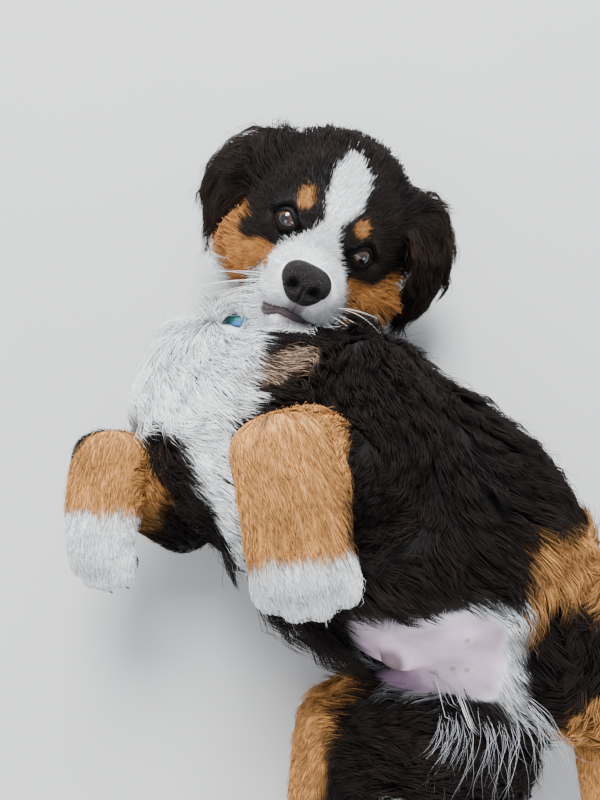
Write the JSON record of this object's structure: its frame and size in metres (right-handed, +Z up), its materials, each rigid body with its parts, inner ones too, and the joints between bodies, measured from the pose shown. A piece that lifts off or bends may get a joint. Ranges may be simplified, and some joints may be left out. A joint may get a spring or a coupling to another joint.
{
  "type": "bernese mountain dog puppy",
  "caption": "Long-coated tricolour mountain dog puppy lying on its back, with folded forepaws, splayed hind legs, a bare belly, a face turned up and a strap collar; a still, life-size model.",
  "frame": {"origin": "on the floor, under the middle of the whole model's box", "axes": "+Z up, the trunk lies along Y with the head at +Y, and the back is towards +X"},
  "size_m": [0.4548, 0.5982, 0.2403],
  "materials": {
    "coat_black": "long soft fur",
    "coat_tan": "short soft fur",
    "coat_white": "soft fur",
    "nose_leather": "moist, finely pebbled",
    "eye": "wet gloss",
    "collar_strap": "woven strap"
  },
  "bodies": {
    "root": {"eye_right": "eye", "eye_left": "eye", "nose": "nose_leather", "collar": "collar_strap", "torso": "coat_black", "neck": "coat_black", "head": "coat_black", "ear_right": "coat_black", "ear_left": "coat_black", "foreleg_upper_left": "coat_black", "foreleg_upper_right": "coat_black", "thigh_left": "coat_black", "thigh_right": "coat_black", "tail": "coat_black", "foreleg_lower_left": "coat_tan", "foreleg_lower_right": "coat_tan", "shank_left": "coat_tan", "shank_right": "coat_tan", "jaw": "coat_white", "forepaw_left": "coat_white", "forepaw_right": "coat_white", "hindpaw_left": "coat_white", "hindpaw_right": "coat_white"}
  },
  "joints": []
}
